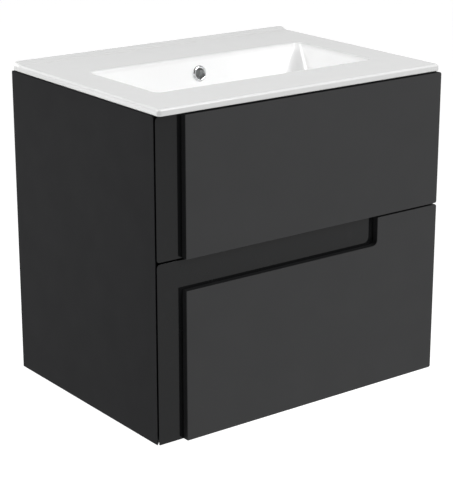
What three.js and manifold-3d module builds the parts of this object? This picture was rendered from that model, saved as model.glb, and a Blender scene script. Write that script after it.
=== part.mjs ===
// A wall-hung bathroom vanity with two drawers and a ceramic basin top. Millimetres, +Z up, front facing -Y.
// The origin is the centre of the back face of the upper wall rail, where the cabinet hangs against the wall.

import * as THREE from "three";
import { mergeVertices } from "three/addons/utils/BufferGeometryUtils.js";
import Module from "manifold-3d";

const wasm = await Module();
wasm.setup();

// Driving dimensions. Heights are measured from the underside of the cabinet until the last step.
const GAP = 0.3; // between pieces that rest on each other
const WIDTH = 600; // over the side panels
const DEPTH = 440; // from the wall to the face of the gloss fronts
const BOARD = 16; // thickness of every board and of the gloss fronts
const CARCASS_TOP = 554.7;
const FRONT_TOP = 552.7;
const SPLIT_Z = 314; // middle of the gap between the two drawer fronts
const SPLIT_GAP = 2.8;
const MITRE_CLEARANCE = 1.7; // each mitred edge stays this far short of the cabinet's corner
const RAIL_HEIGHT = 100; // upper wall rail

const FACE_LAYER = 12; // thickness of the matt layer on each front
const FACE_LEFT = -249; // left edge of the matt layers
const RECESS_FLOOR = 262; // height of the ledge of the finger recess
const RECESS_RIGHT = 160; // right end of the finger recess
const RECESS_RADIUS = 9.5;

const BASIN_WIDTH = 596;
const BASIN_FRONT = -450;
const BASIN_BOTTOM = 555;
const DECK_Z = 567;
const LIP_HEIGHT = 4.2; // of the raised back edge over the deck
const RIM_RADIUS = 4.5; // rounding of the deck's edges, outside and at the bowl
const BOWL_HALF_WIDTH = 233.5; // where the rounding of the bowl's edge starts
const BOWL_FRONT = -350;
const BOWL_BACK = -136.5;
const BOWL_CORNER = 16;
const BOWL_DEPTH = 112;
const BOWL_SHELL = 9; // thickness of the ceramic round the bowl
const BOWL_Y = (BOWL_FRONT + BOWL_BACK) / 2;
const OVERFLOW_DEPTH = 30.5; // centre of the overflow below the deck
const OVERFLOW_HOLE = 12; // radius
const WASTE_BORE = 23; // radius of the hole in the bowl's floor
const CORNER_STEPS = 6; // points round each corner of the basin's sections, less one

const INNER_HALF = WIDTH / 2 - BOARD; // half the width between the side panels
const FRONT_BACK_Y = -DEPTH + BOARD; // back of the gloss fronts
const RUNNER_LENGTH = 350;
const RUNNER_FRONT = -420;
const DRAWER_BACK = -74;
const SIDE_FRONT = -419;
const SIDE_OUTER = INNER_HALF - 13;
const SIDE_THICKNESS = 12.5;
const SIDE_INNER = SIDE_OUTER - SIDE_THICKNESS;
const SIDE_HEIGHT = 98.5;
const SHEET = 1.5; // metal thickness of runners and drawer sides
const UPPER_BASE = 318; // underside of the upper runners
const LOWER_BASE = 20; // underside of the lower runners
const SIPHON_HALF = 95; // half width of the siphon cut-out
const SIPHON_FRONT = -310;
const SIPHON_WALL = 8;
const SIPHON_RADIUS = 40;

const lacquer = (color, roughness) => new THREE.MeshStandardMaterial({ color, roughness, metalness: 0 });
const metal = (color, roughness) => new THREE.MeshStandardMaterial({ color, roughness, metalness: 1 });

const material = {
  carcass: lacquer(0x35363a, 0.45),
  gloss: lacquer(0x303134, 0.08),
  matt: lacquer(0x404144, 0.6),
  drawerBoard: lacquer(0x5a5b5e, 0.55),
  ceramic: lacquer(0xf4f5f5, 0.06),
  chrome: metal(0xe6e8ea, 0.08),
  steel: metal(0xb4b7ba, 0.35),
  paintedSteel: lacquer(0x4b4d52, 0.4),
  brass: metal(0xc9a860, 0.3),
  rubber: lacquer(0x1c1c1d, 0.9),
  plastic: lacquer(0x7d8084, 0.5),
};

const model = new THREE.Group();

function add(name, geometry, surface) {
  const mesh = new THREE.Mesh(geometry, surface);
  mesh.name = name;
  model.add(mesh);
  return mesh;
}

// ---- Solids ----

function block([x0, x1], [y0, y1], [z0, z1]) {
  const geometry = new THREE.BoxGeometry(x1 - x0, y1 - y0, z1 - z0);
  return geometry.translate((x0 + x1) / 2, (y0 + y1) / 2, (z0 + z1) / 2);
}

function outline(points) {
  return new THREE.Shape(points.map(([u, v]) => new THREE.Vector2(u, v)));
}

function extruded(shape, depth, curveSegments = 6) {
  return new THREE.ExtrudeGeometry(shape, { depth, bevelEnabled: false, curveSegments });
}

// An outline in X and Y, extruded upwards from z0 to z1.
function prismUp(shape, z0, z1, curveSegments) {
  return extruded(shape, z1 - z0, curveSegments).translate(0, 0, z0);
}

// An outline in X and Z, extruded along Y from y0 to y1.
function prismBack(shape, y0, y1) {
  return extruded(shape, y1 - y0)
    .rotateX(Math.PI / 2)
    .translate(0, y1, 0);
}

// An outline in Y and Z, extruded along X from x0 to x1.
function prismAcross(shape, x0, x1) {
  const turn = new THREE.Matrix4().makeBasis(
    new THREE.Vector3(0, 1, 0),
    new THREE.Vector3(0, 0, 1),
    new THREE.Vector3(1, 0, 0),
  );
  return extruded(shape, x1 - x0)
    .applyMatrix4(turn)
    .translate(x0, 0, 0);
}

// A profile of [radius, height] points, turned round the vertical line through (x, y).
function turned(profile, x, y, segments = 32) {
  const points = profile.map(([radius, height]) => new THREE.Vector2(radius, height));
  return new THREE.LatheGeometry(points, segments).rotateX(Math.PI / 2).translate(x, y, 0);
}

// The points of a rounded rectangle, anticlockwise from the right-hand end of its front side.
function ring({ x0, x1, y0, y1, radius, z }) {
  const corners = [
    [x1 - radius, y0 + radius, -90],
    [x1 - radius, y1 - radius, 0],
    [x0 + radius, y1 - radius, 90],
    [x0 + radius, y0 + radius, 180],
  ];
  const points = [];
  for (const [cx, cy, start] of corners) {
    for (let i = 0; i <= CORNER_STEPS; i++) {
      const angle = THREE.MathUtils.degToRad(start + (90 * i) / CORNER_STEPS);
      points.push([cx + radius * Math.cos(angle), cy + radius * Math.sin(angle), z]);
    }
  }
  return points;
}

// A closed solid through rounded-rectangle sections, listed from the bottom up.
function loft(sections) {
  const rings = sections.map(ring);
  const count = rings[0].length;
  const positions = rings.flat(2);
  const index = [];
  for (let k = 0; k + 1 < rings.length; k++) {
    for (let i = 0; i < count; i++) {
      const a = k * count + i;
      const b = k * count + ((i + 1) % count);
      index.push(a, b, b + count, a, b + count, a + count);
    }
  }
  const last = (rings.length - 1) * count;
  for (let i = 1; i + 1 < count; i++) {
    index.push(0, i + 1, i, last, last + i, last + i + 1);
  }
  const geometry = new THREE.BufferGeometry();
  geometry.setAttribute("position", new THREE.Float32BufferAttribute(positions, 3));
  geometry.setIndex(index);
  return geometry;
}

function solid(geometry) {
  const bare = geometry.clone();
  bare.deleteAttribute("normal");
  bare.deleteAttribute("uv");
  const merged = mergeVertices(bare, 1e-3);
  return new wasm.Manifold(
    new wasm.Mesh({
      numProp: 3,
      vertProperties: merged.attributes.position.array,
      triVerts: new Uint32Array(merged.index.array),
    }),
  );
}

function surfaceOf(body) {
  const mesh = body.getMesh();
  const geometry = new THREE.BufferGeometry();
  geometry.setAttribute("position", new THREE.BufferAttribute(mesh.vertProperties, 3));
  geometry.setIndex(new THREE.BufferAttribute(mesh.triVerts, 1));
  geometry.computeVertexNormals();
  return geometry;
}

function cut(first, ...tools) {
  return surfaceOf(tools.reduce((body, tool) => body.subtract(solid(tool)), solid(first)));
}

// Mirrors a list of X and Y, or X and Z, points for side 1 (right) or -1 (left), keeping them anticlockwise.
function onSide(side, points) {
  const placed = points.map(([u, v]) => [side * u, v]);
  return outline(side > 0 ? placed : placed.reverse());
}

const SIDES = [
  ["left", -1],
  ["right", 1],
];

function span(side, near, far) {
  return side > 0 ? [near, far] : [-far, -near];
}

// ---- Cabinet ----

function sidePanels() {
  const half = WIDTH / 2;
  const corner = -DEPTH + MITRE_CLEARANCE;
  for (const [word, side] of SIDES) {
    const plan = onSide(side, [
      [INNER_HALF, corner + BOARD],
      [half, corner],
      [half, 0],
      [INNER_HALF, 0],
    ]);
    add(`${word}_side_panel`, prismUp(plan, 0, CARCASS_TOP), material.carcass);
  }
}

const BETWEEN_SIDES = [-INNER_HALF + GAP, INNER_HALF - GAP];
const BUFFER_GAP = 2.3; // between the closed fronts and the boards behind them
const BOARD_FRONT = FRONT_BACK_Y + BUFFER_GAP;
const LOWER_RAIL_HEIGHT = 80;
const FRONT_RAIL_DEPTH = 50;
const FRONT_RAIL_TOPS = [
  ["top", CARCASS_TOP - GAP],
  ["middle", UPPER_BASE - 1], // behind the gap between the drawers, just under the upper runners
];

function carcassBoards() {
  add("bottom_panel", block(BETWEEN_SIDES, [BOARD_FRONT, 0], [0, BOARD]), material.carcass);
  const railDepth = [BOARD_FRONT, BOARD_FRONT + FRONT_RAIL_DEPTH];
  for (const [word, top] of FRONT_RAIL_TOPS) {
    add(`front_${word}_rail`, block(BETWEEN_SIDES, railDepth, [top - BOARD, top]), material.carcass);
  }
  const lowerRail = [BOARD + GAP, BOARD + GAP + LOWER_RAIL_HEIGHT];
  add("lower_wall_rail", block(BETWEEN_SIDES, [-BOARD, 0], lowerRail), material.carcass);
}

const NOTCH_WIDTH = 56; // room for the hanger's hook at each top corner of the upper rail
const NOTCH_DEPTH = 44;

function upperWallRail() {
  const [x0, x1] = BETWEEN_SIDES;
  const bottom = CARCASS_TOP - RAIL_HEIGHT;
  const shelf = CARCASS_TOP - NOTCH_DEPTH;
  const face = outline([
    [x0, bottom],
    [x1, bottom],
    [x1, shelf],
    [x1 - NOTCH_WIDTH, shelf],
    [x1 - NOTCH_WIDTH, CARCASS_TOP],
    [x0 + NOTCH_WIDTH, CARCASS_TOP],
    [x0 + NOTCH_WIDTH, shelf],
    [x0, shelf],
  ]);
  add("upper_wall_rail", prismBack(face, -BOARD, 0), material.carcass);
}

const PLATE = 2.5; // thickness of the wall plates and hooks
const PLATE_BOTTOM = CARCASS_TOP - 42;
const PLATE_STEP = CARCASS_TOP - 21;
const PLATE_TOP = CARCASS_TOP - 5;
const PLATE_STAND_OFF = 4.5; // room behind the lip for the hook
const PLATE_EDGES = [INNER_HALF - 53, INNER_HALF - 4]; // distances of a plate's ends from the middle

function wallPlates() {
  const section = outline([
    [-PLATE, PLATE_BOTTOM],
    [0, PLATE_BOTTOM],
    [0, PLATE_STEP + PLATE],
    [-PLATE_STAND_OFF, PLATE_STEP + PLATE],
    [-PLATE_STAND_OFF, PLATE_TOP],
    [-PLATE_STAND_OFF - PLATE, PLATE_TOP],
    [-PLATE_STAND_OFF - PLATE, PLATE_STEP],
    [-PLATE, PLATE_STEP],
  ]);
  for (const [word, side] of SIDES) {
    const [x0, x1] = span(side, ...PLATE_EDGES);
    add(`${word}_wall_plate`, prismAcross(section, x0, x1), material.steel);
  }
}

const HANGER_WIDTH = 20;
const HANGER_LENGTH = 58;
const HANGER_HEIGHT = 45;
const HANGER_TOP = CARCASS_TOP - 1.4;
const HANGER_BACK = -BOARD - 1.5;
const HANGER_CHAMFERS = { front: 6, back: 8 };
const HOOK_DROP = 9; // of the hook's tip behind the plate's lip
const HOOK_CLEARANCE = 1.2; // from the hook's tip to the wall

// A box inside the cabinet's top corner, with an arm over the rail and a hook down behind the wall plate.
function hangers() {
  const front = HANGER_BACK - HANGER_LENGTH;
  const bottom = HANGER_TOP - HANGER_HEIGHT;
  const arm = HANGER_TOP - PLATE;
  const tipBack = -HOOK_CLEARANCE;
  const tipFront = tipBack - PLATE;
  const section = outline([
    [front, bottom],
    [HANGER_BACK - HANGER_CHAMFERS.back, bottom],
    [HANGER_BACK, bottom + HANGER_CHAMFERS.back],
    [HANGER_BACK, arm],
    [tipFront, arm],
    [tipFront, arm - HOOK_DROP],
    [tipBack, arm - HOOK_DROP],
    [tipBack, HANGER_TOP],
    [front + HANGER_CHAMFERS.front, HANGER_TOP],
    [front, HANGER_TOP - HANGER_CHAMFERS.front],
  ]);
  for (const [word, side] of SIDES) {
    const [x0, x1] = span(side, INNER_HALF - GAP - HANGER_WIDTH, INNER_HALF - GAP);
    add(`${word}_hanger`, prismAcross(section, x0, x1), material.plastic);
  }
}

// ---- Basin ----

const LIP_START = -27; // where the deck begins to rise towards the back edge
const LIP_CREST = -9;
const LIP_CORNER = 1.5;
const BASIN_CORNER = 7;
const UNDER_RADIUS = 2;

function slabSections() {
  const half = BASIN_WIDTH / 2;
  const slab = (inset, z, y0 = BASIN_FRONT + inset, radius = BASIN_CORNER - inset) => ({
    x0: -half + inset,
    x1: half - inset,
    y0,
    y1: -inset,
    radius,
    z,
  });
  const sections = [slab(UNDER_RADIUS, BASIN_BOTTOM), slab(0, BASIN_BOTTOM + UNDER_RADIUS)];
  for (const degrees of [0, 30, 60, 90]) {
    const angle = THREE.MathUtils.degToRad(degrees);
    const inset = RIM_RADIUS * (1 - Math.cos(angle));
    sections.push(slab(inset, DECK_Z - RIM_RADIUS * (1 - Math.sin(angle))));
  }
  const lip = (share, y0, inset) => slab(inset, DECK_Z + LIP_HEIGHT * share, y0, LIP_CORNER);
  sections.push(slab(RIM_RADIUS, DECK_Z + 0.01, LIP_START, BASIN_CORNER - RIM_RADIUS));
  sections.push(lip(0.5, (LIP_START + LIP_CREST) / 2, RIM_RADIUS));
  sections.push(lip(1, LIP_CREST, RIM_RADIUS + 0.5));
  return sections;
}

// How far each level of the bowl lies inside the start of its rounded edge, and the radius of its corners.
const BOWL_LEVELS = [
  { depth: 20, inset: 6.5, corner: 24 },
  { depth: 47, inset: 11, corner: 44 },
  { depth: 75, inset: 17, corner: 60 },
  { depth: 92, inset: 25, corner: 70 },
  { depth: 102, inset: 36, corner: 66 },
  { depth: 108, inset: 52, corner: 53 },
  { depth: BOWL_DEPTH - 1, inset: 74, corner: 32 },
];

function bowlSection(inset, corner, z, grow) {
  return {
    x0: -BOWL_HALF_WIDTH + inset - grow,
    x1: BOWL_HALF_WIDTH - inset + grow,
    y0: BOWL_FRONT + inset - grow,
    y1: BOWL_BACK - inset + grow,
    radius: corner + grow,
    z,
  };
}

function bowlHollow() {
  const sections = BOWL_LEVELS.map(({ depth, inset, corner }) =>
    bowlSection(inset, corner, DECK_Z - depth, 0),
  ).reverse();
  for (const degrees of [90, 60, 30, 0]) {
    const angle = THREE.MathUtils.degToRad(degrees);
    const inset = RIM_RADIUS * Math.sin(angle);
    const z = DECK_Z - RIM_RADIUS * (1 - Math.cos(angle));
    sections.push(bowlSection(inset, BOWL_CORNER - inset, z, 0));
  }
  sections.push(bowlSection(0, BOWL_CORNER, DECK_Z + 20, 0));
  return loft(sections);
}

function bowlShell() {
  const sections = BOWL_LEVELS.map(({ depth, inset, corner }) =>
    bowlSection(inset, corner, DECK_Z - depth - BOWL_SHELL, BOWL_SHELL),
  ).reverse();
  sections.push(bowlSection(RIM_RADIUS, BOWL_CORNER, BASIN_BOTTOM + 4, BOWL_SHELL));
  return loft(sections);
}

// The back wall leans, so the overflow's bore and ring lean with it.
const [WALL_TOP, WALL_FOOT] = BOWL_LEVELS;
const WALL_SLOPE = (WALL_FOOT.inset - WALL_TOP.inset) / (WALL_FOOT.depth - WALL_TOP.depth);
const OVERFLOW_TILT = Math.atan(WALL_SLOPE);
const OVERFLOW_Y = BOWL_BACK - WALL_TOP.inset - WALL_SLOPE * (OVERFLOW_DEPTH - WALL_TOP.depth);
const OVERFLOW_Z = DECK_Z - OVERFLOW_DEPTH;

const BOWL_FLOOR = DECK_Z - BOWL_DEPTH;
const BOSS_BOTTOM = BOWL_FLOOR - 21;
const BOSS_RADII = [36, 44]; // at its foot, and where it meets the bowl
const FLANGE_SEAT = BOWL_FLOOR - 1.5;
const FLANGE_RADIUS = 33;
const SEAT_RADII = [34, 37]; // of the recess round the flange, at its floor and above the bowl's floor
const CHANNEL_HALF = 12; // half width of the overflow channel
const CHANNEL_WALL = 7;
const CHANNEL_TOP = DECK_Z - OVERFLOW_DEPTH + OVERFLOW_HOLE + 2;
const CHANNEL_BACK = BOWL_BACK + 19;
const CHANNEL_BOTTOM = BOWL_FLOOR - 14;
const CHANNEL_BEND = 10; // chamfer at the foot of the channel

// The overflow channel runs down behind the bowl and forward under its floor to the waste.
function channelCasing() {
  const top = CHANNEL_TOP + CHANNEL_WALL;
  const back = CHANNEL_BACK + CHANNEL_WALL;
  const bottom = CHANNEL_BOTTOM - CHANNEL_WALL;
  const bend = CHANNEL_BEND + 2;
  const inBowlWall = BOWL_BACK - 4;
  const inBowlFloor = BOWL_FLOOR - 6;
  return outline([
    [BOWL_Y, bottom],
    [back - bend, bottom],
    [back, bottom + bend],
    [back, top],
    [inBowlWall, top],
    [inBowlWall, BOWL_FLOOR + 40],
    [inBowlWall - 32, inBowlFloor],
    [BOWL_Y, inBowlFloor],
  ]);
}

function channelHollow() {
  const front = CHANNEL_BACK - 12;
  const under = BOWL_FLOOR - 8;
  return outline([
    [BOWL_Y, CHANNEL_BOTTOM],
    [CHANNEL_BACK - CHANNEL_BEND, CHANNEL_BOTTOM],
    [CHANNEL_BACK, CHANNEL_BOTTOM + CHANNEL_BEND],
    [CHANNEL_BACK, CHANNEL_TOP],
    [front, CHANNEL_TOP],
    [front, DECK_Z - 60],
    [front - 2, BOWL_FLOOR + 12],
    [front - 14, under],
    [BOWL_Y, under],
  ]);
}

const aroundWaste = (profile, segments) => turned(profile, 0, BOWL_Y, segments);

// A plug of two radii round the waste's axis, for the boss and for the hollows cut into it.
function wasteCone([footRadius, topRadius], bottom, top) {
  return aroundWaste([
    [0, bottom],
    [footRadius, bottom],
    [topRadius, top],
    [0, top],
  ]);
}

function overflowBore() {
  const length = 34;
  return new THREE.CylinderGeometry(OVERFLOW_HOLE, OVERFLOW_HOLE, length, 20)
    .translate(0, length / 2 - 11, 0)
    .rotateX(-OVERFLOW_TILT)
    .translate(0, OVERFLOW_Y, OVERFLOW_Z);
}

function basin() {
  const outer = CHANNEL_HALF + CHANNEL_WALL;
  const body = [
    loft(slabSections()),
    bowlShell(),
    wasteCone(BOSS_RADII, BOSS_BOTTOM, BOWL_FLOOR - 4),
    prismAcross(channelCasing(), -outer, outer),
  ].map(solid);
  const hollows = [
    bowlHollow(),
    wasteCone(SEAT_RADII, FLANGE_SEAT, BOWL_FLOOR + 5),
    wasteCone([WASTE_BORE, WASTE_BORE], BOSS_BOTTOM - 5, BOWL_FLOOR),
    overflowBore(),
    prismAcross(channelHollow(), -CHANNEL_HALF, CHANNEL_HALF),
  ].map(solid);
  const whole = body.reduce((a, b) => a.add(b));
  add("basin", surfaceOf(hollows.reduce((a, b) => a.subtract(b), whole)), material.ceramic);
}

const RING_OUTER = 14.3;
const RING_HOLE = 9.2;
const RING_PROUD = 3.5;
const RING_NECK = OVERFLOW_HOLE - 0.6; // radius of the sleeve inside the hole
const RING_SLEEVE = -10; // end of the sleeve, measured from the wall

// A domed ring seated in the overflow hole.
function overflowRing() {
  const profile = [
    [RING_HOLE, RING_SLEEVE],
    [RING_NECK, RING_SLEEVE],
    [RING_NECK, GAP],
    [RING_OUTER, GAP],
    [RING_OUTER, 1.2],
    [RING_OUTER - 1.2, RING_PROUD - 0.6],
    [RING_OUTER - 3, RING_PROUD],
    [RING_HOLE + 0.8, RING_PROUD - 0.5],
    [RING_HOLE, RING_PROUD - 1.6],
    [RING_HOLE, RING_SLEEVE],
  ].map(([radius, height]) => new THREE.Vector2(radius, height));
  const geometry = new THREE.LatheGeometry(profile, 32)
    .rotateX(Math.PI - OVERFLOW_TILT)
    .translate(0, OVERFLOW_Y, OVERFLOW_Z);
  add("overflow_ring", geometry, material.chrome);
}

// ---- Waste ----

const TAIL_RADIUS = 21;
const TAIL_INNER = 18;
const TAIL_BOTTOM = BOWL_FLOOR - 70;
const FLANGE_BOTTOM = FLANGE_SEAT + GAP;
const FLANGE_TOP = FLANGE_BOTTOM + 3;

function wasteBody() {
  const profile = [
    [TAIL_INNER, TAIL_BOTTOM],
    [TAIL_RADIUS, TAIL_BOTTOM],
    [TAIL_RADIUS, FLANGE_BOTTOM],
    [FLANGE_RADIUS, FLANGE_BOTTOM],
    [FLANGE_RADIUS, FLANGE_BOTTOM + 1],
    [FLANGE_RADIUS - 2, FLANGE_TOP],
    [TAIL_INNER + 6, FLANGE_TOP],
    [TAIL_INNER, FLANGE_TOP - 5],
    [TAIL_INNER, TAIL_BOTTOM],
  ];
  const slot = block([-60, 60], [BOWL_Y - 6, BOWL_Y + 6], [BOWL_FLOOR - 15, BOWL_FLOOR - 7]);
  add("waste_body", cut(aroundWaste(profile, 28), slot), material.chrome);
}

const GASKET_TOP = BOSS_BOTTOM - GAP;
const GASKET_BOTTOM = GASKET_TOP - 7;
const GASKET_RADII = [30, 33]; // at its foot and at the ceramic
const NUT_RADIUS = 30; // to its corners
const NUT_TOP = GASKET_BOTTOM - GAP;
const NUT_HEIGHT = 11;
const ON_TAIL = TAIL_RADIUS + GAP; // bore of what is pushed or screwed onto the tail

function wasteGasket() {
  const gasket = [
    [ON_TAIL, GASKET_BOTTOM],
    [GASKET_RADII[0], GASKET_BOTTOM],
    [GASKET_RADII[1], GASKET_TOP],
    [ON_TAIL, GASKET_TOP],
    [ON_TAIL, GASKET_BOTTOM],
  ];
  add("waste_gasket", aroundWaste(gasket, 28), material.rubber);
}

function wasteNut() {
  const corners = [0, 1, 2, 3, 4, 5].map((i) => {
    const angle = (Math.PI / 3) * i;
    return [NUT_RADIUS * Math.cos(angle), BOWL_Y + NUT_RADIUS * Math.sin(angle)];
  });
  const hexagon = outline(corners);
  hexagon.holes.push(circlePath(0, BOWL_Y, ON_TAIL));
  add("waste_nut", prismUp(hexagon, NUT_TOP - NUT_HEIGHT, NUT_TOP, 16), material.brass);
}

function circlePath(x, y, radius) {
  const path = new THREE.Path();
  path.absarc(x, y, radius, 0, 2 * Math.PI, true);
  return path;
}

const STEM_RADIUS = 5;
const GUIDE_Z = BOWL_FLOOR - 34;
const GUIDE_HEIGHT = 4;
const GUIDE_RIM = 3; // width of its rim and of the ring round the stem
const HALF_SPOKE = 0.28; // half the angle of a spoke, in radians

// A ring with three spokes across the tail, which guides the plug's stem.
function wasteGuide() {
  const plate = new THREE.Shape();
  plate.absarc(0, BOWL_Y, TAIL_INNER - GAP, 0, 2 * Math.PI, false);
  plate.holes.push(circlePath(0, BOWL_Y, STEM_RADIUS + GAP));
  for (let i = 0; i < 3; i++) {
    const start = (i * 2 * Math.PI) / 3 + HALF_SPOKE;
    const end = ((i + 1) * 2 * Math.PI) / 3 - HALF_SPOKE;
    const gap = new THREE.Path();
    gap.absarc(0, BOWL_Y, TAIL_INNER - GUIDE_RIM, start, end, false);
    gap.absarc(0, BOWL_Y, STEM_RADIUS + GUIDE_RIM, end, start, true);
    gap.closePath();
    plate.holes.push(gap);
  }
  add("waste_guide", prismUp(plate, GUIDE_Z, GUIDE_Z + GUIDE_HEIGHT, 16), material.plastic);
}

// A domed disc over the flange, a collar that closes the waste and a stem down through the guide.
function wastePlug() {
  const seat = FLANGE_TOP + GAP;
  const stemEnd = GUIDE_Z - 12;
  const profile = [
    [0, stemEnd],
    [STEM_RADIUS, stemEnd],
    [STEM_RADIUS, seat - 6],
    [16, seat - 4],
    [17, seat],
    [29, seat],
    [30.5, seat + 1.5],
    [28, seat + 3],
    [15, seat + 4.6],
    [0, seat + 5.2],
  ];
  add("waste_plug", aroundWaste(profile, 32), material.chrome);
}

// ---- Runners ----

const RUNNER_BACK = RUNNER_FRONT + RUNNER_LENGTH;
const RAIL_OUTER = INNER_HALF - GAP; // face against the side panel
const RAIL_INNER = RAIL_OUTER - 21.2;
const RAIL_FLANGE = 32; // height against the side panel
const RAIL_LIP = 8; // height of the inner edge

function cabinetRail(level, base, word, side) {
  const section = onSide(side, [
    [RAIL_INNER, base],
    [RAIL_OUTER, base],
    [RAIL_OUTER, base + RAIL_FLANGE],
    [RAIL_OUTER - SHEET, base + RAIL_FLANGE],
    [RAIL_OUTER - SHEET, base + SHEET],
    [RAIL_INNER + SHEET, base + SHEET],
    [RAIL_INNER + SHEET, base + RAIL_LIP],
    [RAIL_INNER, base + RAIL_LIP],
  ]);
  add(`${level}_${word}_cabinet_rail`, prismBack(section, RUNNER_FRONT, RUNNER_BACK), material.steel);
}

const MIDDLE_SIDES = [RAIL_INNER + 3.5, RAIL_INNER + 17.5];
const MIDDLE_HEIGHTS = [3, 13]; // above the runner's underside
const MIDDLE_FRONT = RUNNER_FRONT + 5;
const MIDDLE_BACK = RUNNER_BACK - 45;

function middleProfile(level, base, word, side) {
  const [inner, outer] = MIDDLE_SIDES;
  const [bottom, top] = MIDDLE_HEIGHTS.map((height) => base + height);
  const section = onSide(side, [
    [inner, bottom],
    [inner + SHEET, bottom],
    [inner + SHEET, top - SHEET],
    [outer - SHEET, top - SHEET],
    [outer - SHEET, bottom],
    [outer, bottom],
    [outer, top],
    [inner, top],
  ]);
  add(`${level}_${word}_middle_profile`, prismBack(section, MIDDLE_FRONT, MIDDLE_BACK), material.steel);
}

const CARRIER_HEIGHT = 14.5; // of the carrier's plate above the runner's underside
const CARRIER_SIDES = [SIDE_INNER + 0.5, SIDE_OUTER + 10];
const CARRIER_RIB = SIDE_INNER + 5.5; // inner face of the rib that stands inside the hollow side
const RIB_HEIGHT = 28;
const CARRIER_FRONT = RUNNER_FRONT + 2;
const CARRIER_BACK = DRAWER_BACK - 6;

function drawerProfile(level, base, word, side) {
  const [inner, outer] = CARRIER_SIDES;
  const plate = base + CARRIER_HEIGHT;
  const section = onSide(side, [
    [inner, plate],
    [outer, plate],
    [outer, plate + SHEET],
    [CARRIER_RIB + SHEET, plate + SHEET],
    [CARRIER_RIB + SHEET, plate + RIB_HEIGHT],
    [CARRIER_RIB, plate + RIB_HEIGHT],
    [CARRIER_RIB, plate + SHEET],
    [inner, plate + SHEET],
  ]);
  add(`${level}_${word}_drawer_profile`, prismBack(section, CARRIER_FRONT, CARRIER_BACK), material.steel);
}

// ---- Drawers ----

const SIDE_BOTTOM = 16.5; // above the runner's underside
const FLOOR_BOTTOM = 18; // of the drawer's bottom board, above the runner's underside
const FLOOR_TOP = FLOOR_BOTTOM + BOARD;
const SIDE_WALL = 1.8; // thickness of each wall of the hollow side
const SIDE_CHAMFER = 1.2;
const INNER_WALL_RAISED = 18; // foot of the inner wall above the outer one's, where the bottom board lies

function drawerSide(level, base, word, side) {
  const bottom = base + SIDE_BOTTOM;
  const innerFoot = bottom + INNER_WALL_RAISED;
  const top = bottom + SIDE_HEIGHT;
  const section = onSide(side, [
    [SIDE_INNER, innerFoot],
    [SIDE_INNER + SIDE_WALL, innerFoot],
    [SIDE_INNER + SIDE_WALL, top - SIDE_WALL],
    [SIDE_OUTER - SIDE_WALL, top - SIDE_WALL],
    [SIDE_OUTER - SIDE_WALL, bottom],
    [SIDE_OUTER, bottom],
    [SIDE_OUTER, top - SIDE_CHAMFER],
    [SIDE_OUTER - SIDE_CHAMFER, top],
    [SIDE_INNER + SIDE_CHAMFER, top],
    [SIDE_INNER, top - SIDE_CHAMFER],
  ]);
  add(`${level}_${word}_side`, prismBack(section, SIDE_FRONT, DRAWER_BACK), material.paintedSteel);
}

const BRACKET_HEIGHTS = [46, 108]; // above the runner's underside
const TONGUE_INSET = 3; // of the tongue from the side's faces
const TONGUE_LENGTH = 24;

// A plate against the back of the front, with a tongue inside the hollow side.
function frontBracket(level, base, word, side) {
  const front = FRONT_BACK_Y + GAP;
  const plate = SIDE_FRONT - GAP;
  const tongueInner = SIDE_INNER + TONGUE_INSET;
  const tongueOuter = SIDE_OUTER - TONGUE_INSET;
  const plan = onSide(side, [
    [SIDE_INNER, front],
    [SIDE_OUTER, front],
    [SIDE_OUTER, plate],
    [tongueOuter, plate],
    [tongueOuter, plate + TONGUE_LENGTH],
    [tongueInner, plate + TONGUE_LENGTH],
    [tongueInner, plate],
    [SIDE_INNER, plate],
  ]);
  const [bottom, top] = BRACKET_HEIGHTS.map((height) => base + height);
  add(`${level}_${word}_front_bracket`, prismUp(plan, bottom, top), material.steel);
}

function glossLayer(name, z0, z1) {
  const half = WIDTH / 2 - MITRE_CLEARANCE;
  const plan = outline([
    [-half, -DEPTH],
    [half, -DEPTH],
    [half - BOARD, FRONT_BACK_Y],
    [-half + BOARD, FRONT_BACK_Y],
  ]);
  add(name, prismUp(plan, z0, z1), material.gloss);
}

const FACE_BACK = -DEPTH - GAP / 3;
const FACE_FRONT = -DEPTH - FACE_LAYER;
const UPPER_FRONT_BOTTOM = SPLIT_Z + SPLIT_GAP / 2;
const LOWER_FRONT_TOP = SPLIT_Z - SPLIT_GAP / 2;

function upperFaceLayer() {
  const face = block([FACE_LEFT, WIDTH / 2], [FACE_FRONT, FACE_BACK], [UPPER_FRONT_BOTTOM, FRONT_TOP]);
  add("upper_matt_layer", face, material.matt);
}

function lowerFaceLayer() {
  const arcX = RECESS_RIGHT - RECESS_RADIUS;
  const arcZ = RECESS_FLOOR + RECESS_RADIUS;
  const face = new THREE.Shape();
  face.moveTo(FACE_LEFT, 0);
  face.lineTo(WIDTH / 2, 0);
  face.lineTo(WIDTH / 2, LOWER_FRONT_TOP);
  face.lineTo(RECESS_RIGHT, LOWER_FRONT_TOP);
  face.lineTo(RECESS_RIGHT, arcZ);
  face.absarc(arcX, arcZ, RECESS_RADIUS, 0, -Math.PI / 2, true);
  face.lineTo(FACE_LEFT, RECESS_FLOOR);
  face.closePath();
  add("lower_matt_layer", prismBack(face, FACE_FRONT, FACE_BACK), material.matt);
}

function siphonOutline(grow) {
  const half = SIPHON_HALF + grow;
  const front = SIPHON_FRONT - grow;
  const radius = SIPHON_RADIUS + grow;
  const path = new THREE.Shape();
  path.moveTo(half, DRAWER_BACK);
  path.lineTo(-half, DRAWER_BACK);
  path.lineTo(-half, front + radius);
  path.absarc(-half + radius, front + radius, radius, Math.PI, 1.5 * Math.PI, false);
  path.lineTo(half - radius, front);
  path.absarc(half - radius, front + radius, radius, 1.5 * Math.PI, 2 * Math.PI, false);
  path.closePath();
  return path;
}

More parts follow.
